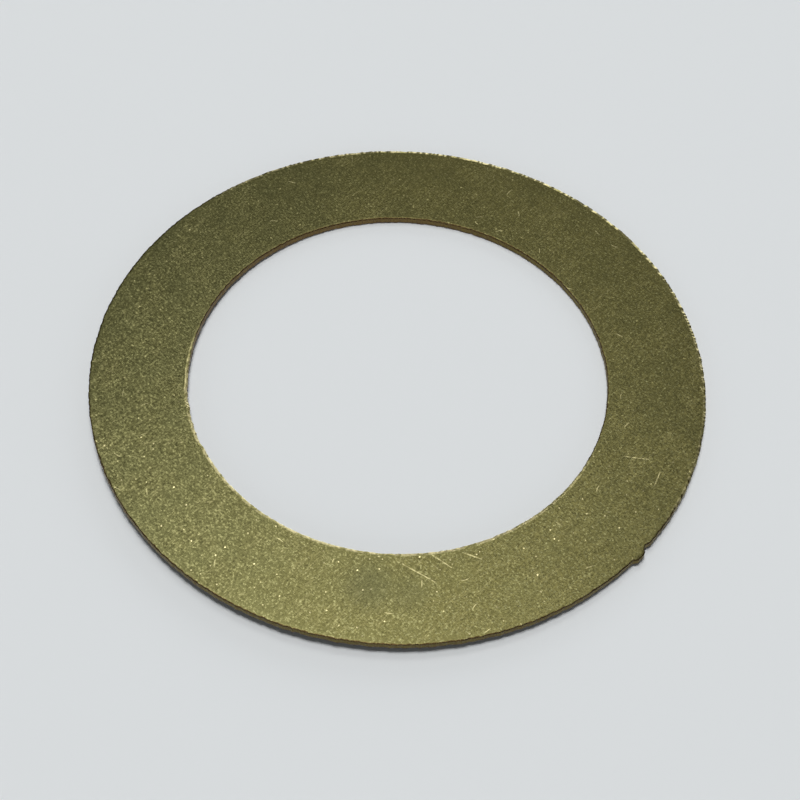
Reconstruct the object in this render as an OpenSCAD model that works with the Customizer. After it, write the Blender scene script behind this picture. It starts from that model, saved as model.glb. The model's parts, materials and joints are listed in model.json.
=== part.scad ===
// Flat ring washer, cut as one piece from thin brass sheet.
// Units are millimetres. The bore axis is Z, the underside lies on z = 0,
// and the stub of the holding tab points along +X.

/* [Ring] */
// Outside diameter of the ring, without the tab stub
outside_d = 50.8; // [40:0.1:80]
// Diameter of the bore
bore_d = 34.5; // [10:0.1:36]
// Thickness of the sheet
sheet_t = 0.76; // [0.4:0.01:2]
// Width of the small break along each cut corner
corner_break = 0.05; // [0.01:0.01:0.1]

/* [Tab stub] */
// Width of the stub where it leaves the rim
stub_root_w = 1.6; // [1:0.1:4]
// Width of the stub across its broken-off end
stub_end_w = 0.7; // [0.4:0.1:1]
// Distance that the stub stands proud of the rim
stub_proud = 0.3; // [0.1:0.05:1]
// Sideways lean of the broken-off end
stub_lean = 0.05; // [0:0.05:0.3]

/* [Hidden] */
outside_r = outside_d / 2;
bore_r = bore_d / 2;
// The stub's prism starts this far inside the rim, so that it joins the ring all along its root
stub_overlap = 0.5;
round_faces = 256;

// Half of the ring's cross-section: a thin strip with its four corners broken
module ring_section() {
    polygon([
        [bore_r + corner_break, 0],
        [outside_r - corner_break, 0],
        [outside_r, corner_break],
        [outside_r, sheet_t - corner_break],
        [outside_r - corner_break, sheet_t],
        [bore_r + corner_break, sheet_t],
        [bore_r, sheet_t - corner_break],
        [bore_r, corner_break]
    ]);
}

// What is left of the tab that held the blank in its sheet
module tab_stub() {
    end_x = outside_r + stub_proud;
    root_x = outside_r - stub_overlap;
    linear_extrude(height = sheet_t)
        polygon([
            [root_x, -stub_root_w / 2],
            [outside_r, -stub_root_w / 2],
            [end_x, -stub_end_w / 2 - stub_lean],
            [end_x, stub_end_w / 2 - stub_lean],
            [outside_r, stub_root_w / 2],
            [root_x, stub_root_w / 2]
        ]);
}

// The whole washer is one piece of metal: the ring and the stub are never apart
module washer_ring() {
    color([0.52, 0.50, 0.27])
        union() {
            rotate_extrude($fn = round_faces) ring_section();
            tab_stub();
        }
}

washer_ring();
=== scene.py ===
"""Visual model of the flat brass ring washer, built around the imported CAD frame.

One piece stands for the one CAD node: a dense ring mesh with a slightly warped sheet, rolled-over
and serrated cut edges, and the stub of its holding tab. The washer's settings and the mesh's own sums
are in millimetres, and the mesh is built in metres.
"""
import json
import math
from collections import namedtuple

import bpy
import numpy as np
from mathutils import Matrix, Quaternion, Vector

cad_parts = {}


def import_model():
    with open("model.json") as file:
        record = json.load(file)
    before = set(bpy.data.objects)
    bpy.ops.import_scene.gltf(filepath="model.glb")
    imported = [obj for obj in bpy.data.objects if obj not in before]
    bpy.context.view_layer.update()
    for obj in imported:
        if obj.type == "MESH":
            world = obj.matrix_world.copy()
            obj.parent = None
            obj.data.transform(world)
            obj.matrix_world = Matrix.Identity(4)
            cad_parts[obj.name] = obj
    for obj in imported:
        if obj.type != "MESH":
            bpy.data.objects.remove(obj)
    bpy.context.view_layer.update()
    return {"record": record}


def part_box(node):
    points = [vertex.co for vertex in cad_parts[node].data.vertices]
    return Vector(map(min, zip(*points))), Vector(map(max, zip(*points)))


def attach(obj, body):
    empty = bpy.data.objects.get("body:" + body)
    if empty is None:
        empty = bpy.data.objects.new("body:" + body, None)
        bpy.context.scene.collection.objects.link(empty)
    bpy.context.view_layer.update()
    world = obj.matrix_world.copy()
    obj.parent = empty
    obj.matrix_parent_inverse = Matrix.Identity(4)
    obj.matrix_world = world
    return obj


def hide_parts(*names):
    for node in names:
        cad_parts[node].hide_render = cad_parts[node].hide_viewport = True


TAU = 2 * math.pi
MM = 0.001

# Camera: its azimuth, turned from -Y towards +X, and its elevation, in degrees, and its distance,
# in outside radii
CAMERA_AZIMUTH = 40.6
CAMERA_ELEVATION = 52.93
CAMERA_RADII = 6.556
CAMERA_ROLL = 2.32
CAMERA_LENS = 90.6
# It aims a little past the bore's axis, to the right and towards itself, in outside radii
AIM_RIGHT = 0.0089
AIM_NEARER = 0.0792

# Distance to the studio lights, and from the bore's axis to the edge of the floor, in metres
LIGHT_REACH = 1.5
FLOOR_HALF = 2.5
FLOOR_COLOUR = (0.805, 0.84, 0.866, 1)
# The surroundings: their strength at the horizon, and the heights between which they fade to nothing,
# as sines of the angle above it
HORIZON_STRENGTH = 0.5
FADE_FROM = 0.15
FADE_TO = 0.72
SKY_COLOUR = (0.97, 1.0, 1.03, 1)
# Colours of the lights
WARM_LIGHT = (1.0, 0.985, 0.965)
GLEAM_LIGHT = (1.0, 1.0, 0.98)
WHITE_LIGHT = (1.0, 1.0, 1.0)
LOW_LIGHT = (1.0, 0.98, 0.93)

# Mesh density: steps round the ring, and rows across the middle of its two faces
ANGLE_STEPS = 2160
TOP_ROWS = 5
UNDERSIDE_ROWS = 4
# Rows beside a cut edge, as distances in from it, and rows down the cut, as shares of its height
EDGE_INSETS = (0.18, 0.26, 0.36, 0.55)
CUT_SHARES = (0.03, 0.12, 0.24, 0.36, 0.46, 0.56, 0.68, 0.8, 0.92)
CORNER_ROWS = 3

# The punch rolled the face over beside each edge, and left a small round on the corner
ROLL_W = 0.5
ROLL_DROP = 0.0015
CORNER_R = 0.03
# Where a corner is worn and carries its painted highlight, it is also worn down, over the width of the
# first row beside it
WEAR_DROP = 0.07
# Below the corner comes a burnished band with a wavy foot, and then the rough fracture, which is eaten
# back more at its own foot
BAND_WAVE = 0.06
FRACTURE_DEPTH = 0.05
FOOT_DEPTH = 0.05
FOOT_H = 0.12
# The two cut edges: which way the radius grows into the metal, how deep the burnished band goes, the
# side where the corner faces away from the camera, is worn and carries a painted highlight, in degrees,
# how far that wear and highlight skip the gaps between the teeth, and the first of the edge's random
# seeds
Cut = namedtuple("Cut", "into band_foot rubbed_side gaps seed")
RIM_CUT = Cut(into=-1, band_foot=0.5, rubbed_side=92, gaps=0.85, seed=150)
BORE_CUT = Cut(into=1, band_foot=0.6, rubbed_side=292, gaps=0.2, seed=250)
# The teeth of the serrated edges
TOOTH_PITCH = 0.34
RIM_TEETH = 0.1
BORE_TEETH = 0.08

# Small burrs left in the bore, over this span of angles in degrees
BURR_SPAN = (226, 246)
BURR_COUNT = 9
BURR_W = 0.09
BURR_H = 0.1

# How far the sheet is out of flat: it lies on one side and lifts a little on the other, at this
# angle in degrees
WARP_H = 0.1
LIFT_TOWARDS = 275
# The paper starts to dip this far short of the bore's axis, as a share of the outside radius, and at
# the rim of the lifted side it is this much lower
FLOOR_HINGE = 0.4
FLOOR_DROP = 0.62

# Stub of the holding tab: it points along +X, and its end leans a little to -Y
STUB_ROOT_W = 1.6
STUB_END_W = 0.65
STUB_LEAN = 0.05
STUB_DROOP = 0.03
# A nick in the rim beside it, on the +Y side
NICK_AT = 1.02
NICK_W = 0.3
NICK_DEPTH = 0.14


# ---------------------------------------------------------------- mesh


def ring_noise(angles, cells, seed):
    """Smooth random ripple from 0 to 1 that closes on itself after a full turn"""
    knots = np.random.default_rng(seed).uniform(0, 1, cells)
    place = angles / TAU * cells
    first = np.floor(place).astype(int) % cells
    blend = place - np.floor(place)
    blend = blend * blend * (3 - 2 * blend)
    return knots[first] * (1 - blend) + knots[(first + 1) % cells] * blend


def smooth_step(low, high, value):
    """0 below low, 1 above high, and an even curve between them"""
    share = np.clip((value - low) / (high - low), 0, 1)
    return share * share * (3 - 2 * share)


def teeth(angles, radius, depth, seed):
    """How far a cut edge is eaten back at each angle: teeth and finer teeth on a slower wander"""
    cells = int(TAU * radius / TOOTH_PITCH)
    coarse = ring_noise(angles, cells, seed)
    fine = ring_noise(angles, cells * 2, seed + 1)
    wander = ring_noise(angles, 40, seed + 2)
    return depth * (0.4 * coarse + 0.5 * fine + 0.1 * wander)


def burrs(angles, radius):
    """Height of the burrs that stand into the bore"""
    start, end = (math.radians(a) for a in BURR_SPAN)
    rng = np.random.default_rng(57)
    height = np.zeros_like(angles)
    for place, size in zip(rng.uniform(start, end, BURR_COUNT), rng.uniform(0.4, 1, BURR_COUNT)):
        height = np.maximum(height, size * np.exp(-((angles - place) * radius / BURR_W) ** 2))
    return BURR_H * height


def along_rim(angles, radius):
    """Distance along the rim from the stub, positive towards +Y"""
    return ((angles + math.pi) % TAU - math.pi) * radius


def stub_shape(angles, radius):
    """How far out the stub stands at each angle, from 0 on the plain rim to 1 at its end"""
    off_centre = np.abs(along_rim(angles, radius) + STUB_LEAN)
    shoulder = 1 - smooth_step(STUB_END_W / 2, STUB_ROOT_W / 2, off_centre)
    return shoulder * (1 - 0.2 * ring_noise(angles, 900, 71))


def nick(angles, radius):
    """Depth of the nick beside the stub"""
    return NICK_DEPTH * np.exp(-((along_rim(angles, radius) - NICK_AT) / NICK_W) ** 2)


def rim_edge(angles, outside_r, proud):
    """Radius of the outer cut edge, and how far its corner is rolled over"""
    stub = stub_shape(angles, outside_r)
    eaten = teeth(angles, outside_r, RIM_TEETH, 101) + nick(angles, outside_r)
    rolled = ROLL_DROP * (0.5 + ring_noise(angles, 60, 131)) + STUB_DROOP * stub
    return outside_r + proud * stub - eaten, rolled


def bore_edge(angles, bore_r):
    """Radius of the bore's cut edge, and how far its corner is rolled over"""
    eaten = teeth(angles, bore_r, BORE_TEETH, 201)
    in_burrs = smooth_step(0, 2, np.degrees(angles) - BURR_SPAN[0])
    in_burrs *= 1 - smooth_step(0, 2, np.degrees(angles) - BURR_SPAN[1])
    eaten = eaten + in_burrs * BURR_H - burrs(angles, bore_r)
    return bore_r + np.maximum(eaten, 0), ROLL_DROP * (0.5 + ring_noise(angles, 60, 231))


def worn_highlight_share(angles, cells, cut):
    """How far the corner is worn and carries a painted highlight at each angle: one side of the ring,
    mostly its teeth
    """
    side = smooth_step(0.0, 0.6, facing(angles, cut.rubbed_side))
    gap = smooth_step(0.35, 0.65, ring_noise(angles, 2 * cells, cut.seed + 3))
    return side * (1 - cut.gaps * gap)


def cut_rows(angles, edge, rolled, sheet_t, cut):
    """One cut edge as rows of radius, height, inset, and wear with its painted highlight, from the
    underside up to the face
    """
    cells = int(TAU * edge.mean() / TOOTH_PITCH)
    rubbed = worn_highlight_share(angles, cells, cut)
    worn = WEAR_DROP * rubbed * (0.5 + 0.5 * ring_noise(angles, cells, cut.seed + 2))
    top = sheet_t - rolled - worn - CORNER_R
    band = cut.band_foot + BAND_WAVE * (2 * ring_noise(angles, cells, cut.seed) - 1)
    zero = 0 * angles
    rows = []
    for index, share in enumerate(CUT_SHARES):
        height = top * share
        rough = ring_noise(angles, cells, cut.seed + 10 + index)
        torn = smooth_step(0, 0.06, sheet_t - height - band)
        recess = FRACTURE_DEPTH * torn * (0.4 + 0.6 * rough)
        ragged = ring_noise(angles, cells, cut.seed + 1)
        foot = FOOT_DEPTH * smooth_step(0, FOOT_H, FOOT_H - height) * ragged
        wear_and_highlight = rubbed * (0.6 if share == CUT_SHARES[-1] else 0)
        rows.append((edge + cut.into * (recess + foot), height, zero, wear_and_highlight))
    under_radius = rows[0][0] + cut.into * CORNER_R
    rows.insert(0, (under_radius, zero, zero, zero))
    for step in range(CORNER_ROWS + 1):
        turn = math.pi / 2 * step / CORNER_ROWS
        back = CORNER_R * (1 - math.cos(turn))
        rows.append((edge + cut.into * back, top + CORNER_R * math.sin(turn), zero, rubbed))
    for inset in EDGE_INSETS:
        sunk = rolled * np.clip(1 - inset / ROLL_W, 0, 1) ** 2
        wear_and_highlight = rubbed * (0.9 if inset == EDGE_INSETS[0] else 0)
        rows.append((edge + cut.into * inset, sheet_t - sunk, zero + inset, wear_and_highlight))
    return rows


def across(first, last, count):
    """Rows evenly spaced between two rows, without the two themselves"""
    between = []
    for row in range(1, count + 1):
        share = row / (count + 1)
        between.append(tuple(a + (b - a) * share for a, b in zip(first, last)))
    return between


def facing(angles, towards):
    """How far each direction faces a given one, from -1 to 1"""
    return np.cos(angles - math.radians(towards))


def warp(angles, share):
    """Height of the underside, from 0 to WARP_H, at a share of the way from the bore to the rim"""
    lift = (0.5 + 0.5 * facing(angles, LIFT_TOWARDS)) ** 2 * (0.3 + 0.5 * share)
    waves = ring_noise(angles, 17, 32) * (1 - share) + ring_noise(angles, 23, 33) * share
    return WARP_H * np.clip(lift + 0.12 * waves, 0, 1)


def ring_quads(first, second):
    """Faces between two rows of points, given by their places in the section"""
    steps = np.arange(ANGLE_STEPS)
    after = (steps + 1) % ANGLE_STEPS
    return np.stack([first * ANGLE_STEPS + steps, first * ANGLE_STEPS + after,
                     second * ANGLE_STEPS + after, second * ANGLE_STEPS + steps], axis=1)


def build_washer(bore_r, outside_r, sheet_t, proud):
    """The whole ring as one closed mesh object, with its faces and its cut edges in two materials"""
    angles = np.arange(ANGLE_STEPS) / ANGLE_STEPS * TAU
    flat_t = sheet_t - WARP_H
    rim = cut_rows(angles, *rim_edge(angles, outside_r, proud), flat_t, RIM_CUT)
    bore = cut_rows(angles, *bore_edge(angles, bore_r), flat_t, BORE_CUT)
    top = across(rim[-1], bore[-1], TOP_ROWS)
    under = across(bore[0], rim[0], UNDERSIDE_ROWS)
    section = rim + top + bore[::-1] + under

    cut_count = len(CUT_SHARES) + CORNER_ROWS - 1
    bore_foot = len(section) - UNDERSIDE_ROWS - 1
    points = np.empty((len(section), ANGLE_STEPS, 3))
    faces = []
    is_cut = []
    for index, (radius, height, _, _) in enumerate(section):
        share = (radius - bore_r) / (outside_r - bore_r)
        points[index, :, 0] = radius * np.cos(angles)
        points[index, :, 1] = radius * np.sin(angles)
        points[index, :, 2] = height + warp(angles, share)
        faces.append(ring_quads(index, (index + 1) % len(section)))
        on_cut = index < cut_count or bore_foot - cut_count <= index < bore_foot
        is_cut.append(np.full(ANGLE_STEPS, on_cut))

    mesh = bpy.data.meshes.new("washer")
    mesh.from_pydata((points.reshape(-1, 3) * MM).tolist(), [], np.concatenate(faces).tolist())
    mesh.polygons.foreach_set("material_index", np.concatenate(is_cut).astype(np.int32))
    mesh.polygons.foreach_set("use_smooth", np.ones(len(mesh.polygons), dtype=bool))
    _, heights, insets, rubbed = (np.concatenate(column) for column in zip(*section))
    add_attribute(mesh, "inset", insets)
    add_attribute(mesh, "drop", flat_t - heights)
    # The share of wear and painted highlight, for the materials
    add_attribute(mesh, "rubbed", rubbed)
    mesh.update()
    washer = bpy.data.objects.new("washer", mesh)
    bpy.context.scene.collection.objects.link(washer)
    return washer


def add_attribute(mesh, name, values):
    """Stores a number for each point, in millimetres, for the materials to read"""
    attribute = mesh.attributes.new(name, "FLOAT", "POINT")
    attribute.data.foreach_set("value", values.astype(np.float32))


# ---------------------------------------------------------------- materials

# Colours of the metal, and of the painted glints, highlights and shade on it
GREENISH = (0.126, 0.123, 0.051, 1)
BROWNISH = (0.138, 0.126, 0.046, 1)
DARK_TARNISH = (0.082, 0.077, 0.029, 1)
SMUDGE = (0.085, 0.084, 0.038, 1)
SPECK = (0.31, 0.299, 0.141, 1)
# Worn corners: partly the colour of real wear, partly a painted highlight
RUBBED_AND_HIGHLIGHT = (0.5, 0.46, 0.19, 1)
# Bare brass: the real colour of scratches and rolling marks, and also of painted glints and painted
# highlights
BARE_BRASS_AND_HIGHLIGHT = (0.88, 0.79, 0.43, 1)
# Painted shade: the dark line along the corners that carry no painted highlight
CORNER_SHADE = (0.05, 0.032, 0.012, 1)
BURNISHED = (0.185, 0.128, 0.045, 1)
OLIVE_CUT = (0.165, 0.13, 0.036, 1)
# The torn fracture's own darker colour, which also stands in as painted shade low on the cut
FRACTURE_AND_SHADE = (0.13, 0.085, 0.06, 1)
# Tint of the face's reflection at a grazing angle
GRAZING = (0.9, 0.83, 0.62, 1)
# Range of the roughness of the face and of the cuts
FACE_ROUGHNESS = (0.305, 0.325)
CUT_ROUGHNESS = (0.4, 0.6)
# The face is greener on one side of the ring, and browner this way
BROWNER_WAY = (0.76, 0.65, 0)
# Painted glints are thickest this way, towards the camera
PAINTED_GLINT_WAY = (0.65, -0.76, 0)
# The face's grain and glints: how many to a millimetre, and how far they lean over
GRAIN_PER_MM = 6.2
GRAIN_TILT = 0.42
GLINTS_PER_MM = 2.6
GLINT_TILT = 0.24
SCRATCHES_PER_MM = 0.47
# The longer scratches: middle X and Y, heading from +X in degrees, and length
SCRATCHES = (
    (14.5, -11, 5, 2),
    (14, -13, 10, 3),
    (16, -9, 20, 1.5),
    (19.5, 7, 35, 2),
    (22, 6.5, 110, 1.5),
)
# Dull patches: middle X and Y, radius, and strength
SMUDGES = (
    (12, -16.5, 3, 0.6),
    (14.5, -15, 2.5, 0.35),
)


class Graph:
    """A material's node tree, with short calls for the nodes used here"""

    def __init__(self, name):
        self.material = bpy.data.materials.new(name)
        self.material.use_nodes = True
        self.tree = self.material.node_tree
        self.shader = self.tree.nodes["Principled BSDF"]

    def node(self, kind, **settings):
        made = self.tree.nodes.new(kind)
        for name, value in settings.items():
            setattr(made, name, value)
        return made

    def put(self, socket, value):
        """Links a socket's source, or sets a plain value"""
        if isinstance(value, bpy.types.NodeSocket):
            self.tree.links.new(value, socket)
        else:
            socket.default_value = value

    def maths(self, operation, a, b=0.0, clamp=False):
        made = self.node("ShaderNodeMath", operation=operation, use_clamp=clamp)
        self.put(made.inputs[0], a)
        self.put(made.inputs[1], b)
        return made.outputs[0]

    def vector(self, operation, a, b=(0, 0, 0)):
        made = self.node("ShaderNodeVectorMath", operation=operation)
        self.put(made.inputs[0], a)
        self.put(made.inputs[1], b)
        return made.outputs["Value" if operation in ("DOT_PRODUCT", "DISTANCE") else 0]

    def scaled(self, vector, factor):
        made = self.node("ShaderNodeVectorMath", operation="SCALE")
        self.put(made.inputs[0], vector)
        self.put(made.inputs["Scale"], factor)
        return made.outputs[0]

    def millimetres(self):
        """The surface point in the washer's own frame, in millimetres"""
        return self.scaled(self.node("ShaderNodeTexCoord").outputs["Object"], 1 / MM)

    def attribute(self, name):
        return self.node("ShaderNodeAttribute", attribute_name=name).outputs["Fac"]

    def turned(self, vector, angle):
        """A vector turned about Z by an angle in radians"""
        made = self.node("ShaderNodeVectorRotate", rotation_type="Z_AXIS")
        self.put(made.inputs["Vector"], vector)
        self.put(made.inputs["Angle"], angle)
        return made.outputs[0]

    def noise(self, place, per_mm, detail=2.0, roughness=0.5, output="Fac"):
        made = self.node("ShaderNodeTexNoise")
        self.put(made.inputs["Vector"], place)
        made.inputs["Scale"].default_value = per_mm
        made.inputs["Detail"].default_value = detail
        made.inputs["Roughness"].default_value = roughness
        return made.outputs[output]

    def cells(self, place, per_mm):
        """Random cells: distance to the cell's centre in cell widths, its colour and its centre"""
        made = self.node("ShaderNodeTexVoronoi")
        self.put(made.inputs["Vector"], place)
        made.inputs["Scale"].default_value = per_mm
        return made.outputs["Distance"], made.outputs["Color"], made.outputs["Position"]

    def split(self, vector):
        """The X, Y and Z of a vector, or the red, green and blue of a colour"""
        made = self.node("ShaderNodeSeparateXYZ")
        self.put(made.inputs[0], vector)
        return tuple(made.outputs)

    def spread(self, value, low, high, to_low=0.0, to_high=1.0):
        """Maps low..high onto to_low..to_high, smoothly and with both ends held"""
        made = self.node("ShaderNodeMapRange", interpolation_type="SMOOTHSTEP")
        self.put(made.inputs["Value"], value)
        for name, number in (("From Min", low), ("From Max", high),
                             ("To Min", to_low), ("To Max", to_high)):
            made.inputs[name].default_value = number
        return made.outputs[0]

    def mix(self, share, first, second):
        made = self.node("ShaderNodeMix", data_type="RGBA")
        self.put(made.inputs[0], share)
        self.put(made.inputs[6], first)
        self.put(made.inputs[7], second)
        return made.outputs[2]

    def centred(self, colour):
        """A random colour as a vector from -0.5 to 0.5"""
        return self.vector("SUBTRACT", colour, (0.5, 0.5, 0.5))

    def leaning(self, tilt):
        """The surface normal, leaning over by a small vector"""
        facing = self.node("ShaderNodeNewGeometry").outputs["Normal"]
        return self.vector("NORMALIZE", self.vector("ADD", facing, tilt))


def glints(graph, place):
    """Small bright facets: where the few pin-point cells are, and which way each leans"""
    distance, colour, _ = graph.cells(place, GLINTS_PER_MM)
    chosen = graph.spread(graph.split(colour)[0], 0.72, 1.0)
    inside = graph.spread(distance, 0.1, 0.28, 1.0, 0.0)
    return graph.maths("MULTIPLY", chosen, inside), graph.centred(colour)


def hairlines(graph, place):
    """Fine straight rolling marks along Y, where a slow noise lets them show"""
    stretched = graph.vector("MULTIPLY", place, (9.0, 0.7, 0.7))
    lines = graph.spread(graph.noise(stretched, 1.0, 1.0), 0.5, 0.75)
    return graph.maths("MULTIPLY", lines, graph.spread(graph.noise(place, 0.3), 0.35, 0.65))


def short_scratches(graph, place):
    """Short straight nicks at random places and headings"""
    _, colour, centre = graph.cells(place, SCRATCHES_PER_MM)
    chance, heading, bend = graph.split(colour)
    offset = graph.vector("SUBTRACT", place, centre)
    along, off, _ = graph.split(graph.turned(offset, graph.maths("MULTIPLY", heading, TAU)))
    squared = graph.maths("MULTIPLY", along, along)
    bow = graph.maths("MULTIPLY", squared, graph.maths("MULTIPLY", bend, 0.5))
    curved = graph.maths("SUBTRACT", off, bow)
    thin = graph.spread(graph.maths("ABSOLUTE", curved), 0.015, 0.05, 1.0, 0.0)
    short = graph.spread(graph.maths("ABSOLUTE", along), 0.15, 0.45, 1.0, 0.0)
    shown = graph.spread(chance, 0.8, 0.95)
    return graph.maths("MULTIPLY", graph.maths("MULTIPLY", thin, short), shown)


def named_scratches(graph, place):
    """The longer scratches, each a thin straight line, brighter and fainter along its length"""
    total = 0.0
    for x, y, heading, length in SCRATCHES:
        turn = math.radians(heading)
        half = Vector((math.cos(turn), math.sin(turn), 0)) * length / 2
        offset = graph.vector("SUBTRACT", place, (x, y, 0))
        flat = graph.vector("MULTIPLY", offset, (1, 1, 0))
        share = graph.maths("DIVIDE", graph.vector("DOT_PRODUCT", flat, half), half.length_squared)
        held = graph.maths("MAXIMUM", graph.maths("MINIMUM", share, 1.0), -1.0)
        distance = graph.vector("DISTANCE", flat, graph.scaled(half, held))
        total = graph.maths("MAXIMUM", total, graph.spread(distance, 0.02, 0.07, 1.0, 0.0))
    broken = graph.spread(graph.noise(place, 2.5), 0.35, 0.6, 0.35, 1.0)
    return graph.maths("MULTIPLY", total, broken)


def smudges(graph, place):
    """Soft dull patches, each round a given point"""
    total = 0.0
    flat = graph.vector("MULTIPLY", place, (1, 1, 0))
    for x, y, radius, strength in SMUDGES:
        distance = graph.vector("DISTANCE", flat, (x, y, 0))
        patch = graph.spread(distance, 0.2 * radius, radius, strength, 0.0)
        total = graph.maths("MAXIMUM", total, patch)
    return total


def worn_highlight_dashes(graph, place):
    """Where a corner is worn bright and carries a painted highlight, broken into dashes"""
    dashes = graph.spread(graph.noise(place, 2.0, 2.0, 0.6), 0.4, 0.54)
    return graph.maths("MULTIPLY", graph.attribute("rubbed"), dashes)


def brass_face():
    """Dull rolled brass: sandy grain with glinting facets, rolling marks, scratches and tarnish, with
    painted glints, painted highlights along some corners and painted shade along the others
    """
    graph = Graph("brass_face")
    place = graph.millimetres()
    inset = graph.attribute("inset")
    rubbed = graph.attribute("rubbed")
    patch = graph.noise(place, 0.3, 3.0, 0.6)
    drawn = graph.vector("MULTIPLY", place, (1.0, 0.4, 1.0))
    fleck = graph.noise(drawn, 3.2, 3.0, 0.6)
    hair = hairlines(graph, place)
    scratch = graph.maths("MAXIMUM", named_scratches(graph, place), short_scratches(graph, place))
    dull = smudges(graph, place)
    glint, glint_way = glints(graph, place)
    # Painted glints: the brightest cells, strongest on the side nearer the camera
    painted_glint_side = graph.spread(graph.vector("DOT_PRODUCT", place, PAINTED_GLINT_WAY), 2, 16)
    sparkle = graph.maths("MULTIPLY", graph.spread(glint, 0.5, 0.85), painted_glint_side)
    speck = graph.spread(graph.noise(place, GRAIN_PER_MM, 2.0, 0.6), 0.5, 0.78)
    ragged = graph.maths("ADD", inset, graph.spread(fleck, 0.3, 0.7, -0.05, 0.04))
    # Painted shade: a dark line along each corner, left off where the corner carries its painted
    # highlight
    unworn_unhighlit = graph.spread(rubbed, 0.0, 0.5, 1.0, 0.0)
    corner_shade = graph.maths("MULTIPLY", graph.spread(ragged, 0.02, 0.09, 1.0, 0.0), unworn_unhighlit)

    # Colour: greenish to brownish tarnish, dull smudges, bare metal along scratches, painted glints, a
    # painted highlight (partly real wear) along the corners facing away from the camera, and painted
    # shade along the others
    side = graph.vector("DOT_PRODUCT", place, BROWNER_WAY)
    patchy = graph.spread(patch, 0.3, 0.7, -0.05, 0.3)
    browned = graph.maths("ADD", graph.spread(side, -22, 6, 0.0, 0.8), patchy, clamp=True)
    colour = graph.mix(browned, GREENISH, BROWNISH)
    colour = graph.mix(graph.spread(fleck, 0.3, 0.7, 0.0, 0.3), colour, DARK_TARNISH)
    speckled_side = graph.spread(graph.split(place)[0], -22, 22, 0.42, 0.95)
    colour = graph.mix(graph.maths("MULTIPLY", speck, speckled_side), colour, SPECK)
    colour = graph.mix(dull, colour, SMUDGE)
    # Painted highlight, partly real wear, along the corners that face away from the camera
    colour = graph.mix(rubbed, colour, RUBBED_AND_HIGHLIGHT)
    colour = graph.mix(graph.maths("MULTIPLY", hair, 0.05), colour, BARE_BRASS_AND_HIGHLIGHT)
    colour = graph.mix(graph.maths("MULTIPLY", scratch, 0.32), colour, BARE_BRASS_AND_HIGHLIGHT)
    # Painted glints: the glinting cells lightened towards bare brass, most of all on the side nearer the
    # camera
    colour = graph.mix(graph.maths("MULTIPLY", glint, 0.12), colour, BARE_BRASS_AND_HIGHLIGHT)
    colour = graph.mix(graph.maths("MULTIPLY", sparkle, 0.7), colour, BARE_BRASS_AND_HIGHLIGHT)
    # Painted shade along the corners
    colour = graph.mix(corner_shade, colour, CORNER_SHADE)
    # Painted highlight in bright dashes along those corners
    colour = graph.mix(worn_highlight_dashes(graph, place), colour, BARE_BRASS_AND_HIGHLIGHT)
    graph.put(graph.shader.inputs["Base Color"], colour)
    graph.shader.inputs["Metallic"].default_value = 1.0
    graph.shader.inputs["Specular Tint"].default_value = GRAZING
    graph.put(graph.shader.inputs["Roughness"], graph.spread(patch, 0.35, 0.65, *FACE_ROUGHNESS))

    # Relief: the grain is weaker beside the edges
    grain = graph.centred(graph.noise(place, GRAIN_PER_MM, 3.0, 0.75, output="Color"))
    beside_edge = graph.spread(inset, 0.0, 0.9, 0.55, 1.0)
    strength = graph.maths("MULTIPLY", graph.spread(patch, 0.3, 0.7, 0.8, 1.15), beside_edge)
    tilt = graph.scaled(grain, graph.maths("MULTIPLY", strength, GRAIN_TILT))
    tilt = graph.vector("ADD", tilt, graph.scaled(glint_way, graph.maths("MULTIPLY", glint, GLINT_TILT)))
    ridge = graph.maths("MULTIPLY", hair, 0.018)
    ridge = graph.maths("ADD", ridge, graph.maths("MULTIPLY", scratch, 0.04))
    tilt = graph.vector("ADD", tilt, graph.scaled((0.6, -0.8, 0.0), ridge))
    graph.put(graph.shader.inputs["Normal"], graph.leaning(tilt))
    return graph.material


def cut_edge():
    """The cut through the sheet: at the top a painted dark line of shade, turned to a painted highlight
    where the corner is worn; then a burnished brown band, and a darker torn fracture, partly painted
    shade
    """
    graph = Graph("cut_edge")
    place = graph.millimetres()
    drop = graph.attribute("drop")
    upright = graph.vector("MULTIPLY", place, (1, 1, 0.2))
    marks = graph.noise(upright, 7.0, 2.0, 0.6)
    wavy = graph.maths("ADD", drop, graph.spread(marks, 0.3, 0.7, -0.06, 0.06))
    band = graph.mix(graph.spread(graph.split(place)[0], -13, 0), BURNISHED, OLIVE_CUT)
    # Top of the cut: a painted dark line of shade, turned to the painted highlight where the corner is
    # worn
    top_shade_and_highlight = graph.mix(graph.attribute("rubbed"), CORNER_SHADE, RUBBED_AND_HIGHLIGHT)
    colour = graph.mix(graph.spread(wavy, 0.06, 0.14), top_shade_and_highlight, band)
    # The lower part of the cut is darker: the fracture's own colour and painted shade
    colour = graph.mix(graph.spread(wavy, 0.48, 0.6), colour, FRACTURE_AND_SHADE)
    colour = graph.mix(graph.spread(marks, 0.35, 0.7, 0.0, 0.35), colour, FRACTURE_AND_SHADE)
    # Painted highlight in bright dashes along the worn corners
    colour = graph.mix(worn_highlight_dashes(graph, place), colour, BARE_BRASS_AND_HIGHLIGHT)
    graph.put(graph.shader.inputs["Base Color"], colour)
    graph.shader.inputs["Metallic"].default_value = 1.0
    graph.put(graph.shader.inputs["Roughness"], graph.spread(marks, 0.3, 0.7, *CUT_ROUGHNESS))
    grain = graph.centred(graph.noise(upright, 9.0, 2.0, 0.7, output="Color"))
    graph.put(graph.shader.inputs["Normal"], graph.leaning(graph.scaled(grain, 0.8)))
    return graph.material


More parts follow.
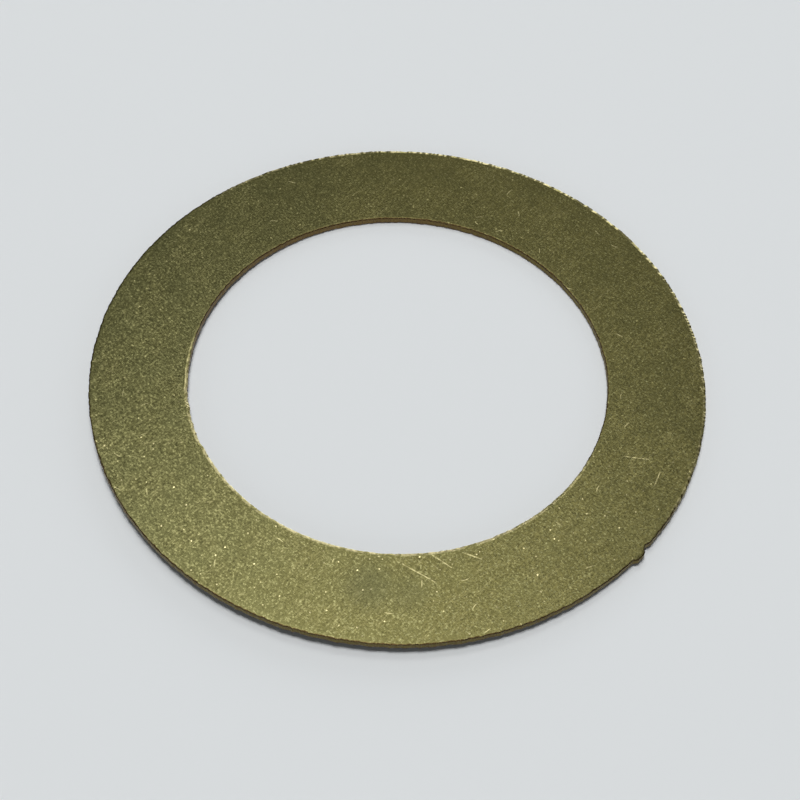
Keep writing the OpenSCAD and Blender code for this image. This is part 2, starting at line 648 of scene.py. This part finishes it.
def paper():
    """Plain pale floor"""
    graph = Graph("paper")
    graph.shader.inputs["Base Color"].default_value = FLOOR_COLOUR
    graph.shader.inputs["Roughness"].default_value = 0.9
    graph.shader.inputs["Specular IOR Level"].default_value = 0.2
    return graph.material


# ---------------------------------------------------------------- studio


def make_camera(outside_r):
    """Looks down on the washer with the tab stub at the lower right"""
    azimuth = math.radians(CAMERA_AZIMUTH)
    elevation = math.radians(CAMERA_ELEVATION)
    right = Vector((math.cos(azimuth), math.sin(azimuth), 0))
    nearer = Vector((math.sin(azimuth), -math.cos(azimuth), 0))
    back = nearer * math.cos(elevation) + Vector((0, 0, math.sin(elevation)))
    place = back * CAMERA_RADII * outside_r
    aim = (right * AIM_RIGHT + nearer * AIM_NEARER) * outside_r
    data = bpy.data.cameras.new("camera")
    data.lens = CAMERA_LENS
    data.sensor_width = 36
    data.clip_start = 0.01
    data.clip_end = 10
    camera = bpy.data.objects.new("camera", data)
    bpy.context.scene.collection.objects.link(camera)
    camera.location = place
    camera.rotation_mode = "QUATERNION"
    roll = Quaternion((0, 0, 1), math.radians(CAMERA_ROLL))
    camera.rotation_quaternion = (aim - place).to_track_quat("-Z", "Y") @ roll
    bpy.context.scene.camera = camera


def make_floor(outside_r):
    """A wide pale floor, level but for a slope below the washer, down from the side that lies on it
    to the side that is lifted"""
    towards = math.radians(LIFT_TOWARDS)
    out = Vector((math.cos(towards), math.sin(towards), 0))
    across_it = Vector((-out.y, out.x, 0)) * FLOOR_HALF
    low = -FLOOR_DROP * MM
    corners = []
    for place, height in ((-FLOOR_HALF, 0), (-FLOOR_HINGE * outside_r, 0), (outside_r, low),
                          (FLOOR_HALF, low)):
        middle = out * place + Vector((0, 0, height))
        corners.extend((middle - across_it, middle + across_it))
    mesh = bpy.data.meshes.new("floor")
    mesh.from_pydata(corners, [], [(i, i + 2, i + 3, i + 1) for i in (0, 2, 4)])
    mesh.materials.append(paper())
    floor = bpy.data.objects.new("floor", mesh)
    bpy.context.scene.collection.objects.link(floor)


def make_soft_light(name, tilt, turn, width, irradiance, colour):
    """A round soft light aimed at the washer, given by its tilt from straight up and its turn to the
    left of the view's far direction, both in degrees, and by what it would give a face turned to it"""
    towards = math.radians(CAMERA_AZIMUTH + 90 + turn)
    tilt = math.radians(tilt)
    place = Vector((math.sin(tilt) * math.cos(towards), math.sin(tilt) * math.sin(towards),
                    math.cos(tilt)))
    data = bpy.data.lights.new(name, "AREA")
    data.shape = "DISK"
    data.size = width
    data.energy = irradiance * math.pi * LIGHT_REACH ** 2
    data.color = colour
    light = bpy.data.objects.new(name, data)
    bpy.context.scene.collection.objects.link(light)
    light.location = place * LIGHT_REACH
    light.rotation_mode = "QUATERNION"
    light.rotation_quaternion = (-place).to_track_quat("-Z", "Y")


def make_lights():
    """A broad main light almost overhead; three weak ones beyond the washer, whose soft reflections lie
    on its face; a low window on the far side, which catches the corners that face away from the camera;
    and a low wide light on the near side, for the views from behind"""
    make_soft_light("main", 3, 150, 0.5, 1.85, WARM_LIGHT)
    make_soft_light("gleam_left", 24, 20, 0.4, 0.22, GLEAM_LIGHT)
    make_soft_light("gleam_far", 28, 0, 0.5, 0.21, GLEAM_LIGHT)
    make_soft_light("gleam_right", 20, -20, 0.4, 0.03, GLEAM_LIGHT)
    make_soft_light("window", 68, -14, 0.9, 0.35, WHITE_LIGHT)
    make_soft_light("low_near", 73, 180, 1.2, 0.15, LOW_LIGHT)


def make_world():
    """Pale at the horizon, and fading to nothing overhead, where the studio lights are"""
    world = bpy.data.worlds.new("studio")
    world.use_nodes = True
    tree = world.node_tree
    background = tree.nodes["Background"]
    place = tree.nodes.new("ShaderNodeTexCoord")
    height = tree.nodes.new("ShaderNodeSeparateXYZ")
    fade = tree.nodes.new("ShaderNodeMapRange")
    fade.interpolation_type = "SMOOTHSTEP"
    fade.inputs["From Min"].default_value = FADE_FROM
    fade.inputs["From Max"].default_value = FADE_TO
    fade.inputs["To Min"].default_value = HORIZON_STRENGTH
    fade.inputs["To Max"].default_value = 0.0
    tree.links.new(place.outputs["Generated"], height.inputs[0])
    tree.links.new(height.outputs["Z"], fade.inputs["Value"])
    tree.links.new(fade.outputs[0], background.inputs["Strength"])
    background.inputs["Color"].default_value = SKY_COLOUR
    bpy.context.scene.world = world


# ---------------------------------------------------------------- the scene


def main():
    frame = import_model()
    low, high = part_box("washer_ring")
    rim = high[1]
    outside_r = rim / MM
    sheet_t = (high[2] - low[2]) / MM
    proud = high[0] / MM - outside_r
    bore_r = next(m["dims"]["r_mm"] for m in frame["record"]["mounts"] if m["name"] == "bore")

    make_camera(rim)
    make_floor(rim)
    make_lights()
    make_world()
    bpy.context.scene.view_settings.view_transform = "Standard"

    washer = build_washer(bore_r, outside_r, sheet_t, proud)
    washer.data.materials.append(brass_face())
    washer.data.materials.append(cut_edge())
    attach(washer, "root")
    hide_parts("washer_ring")


main()
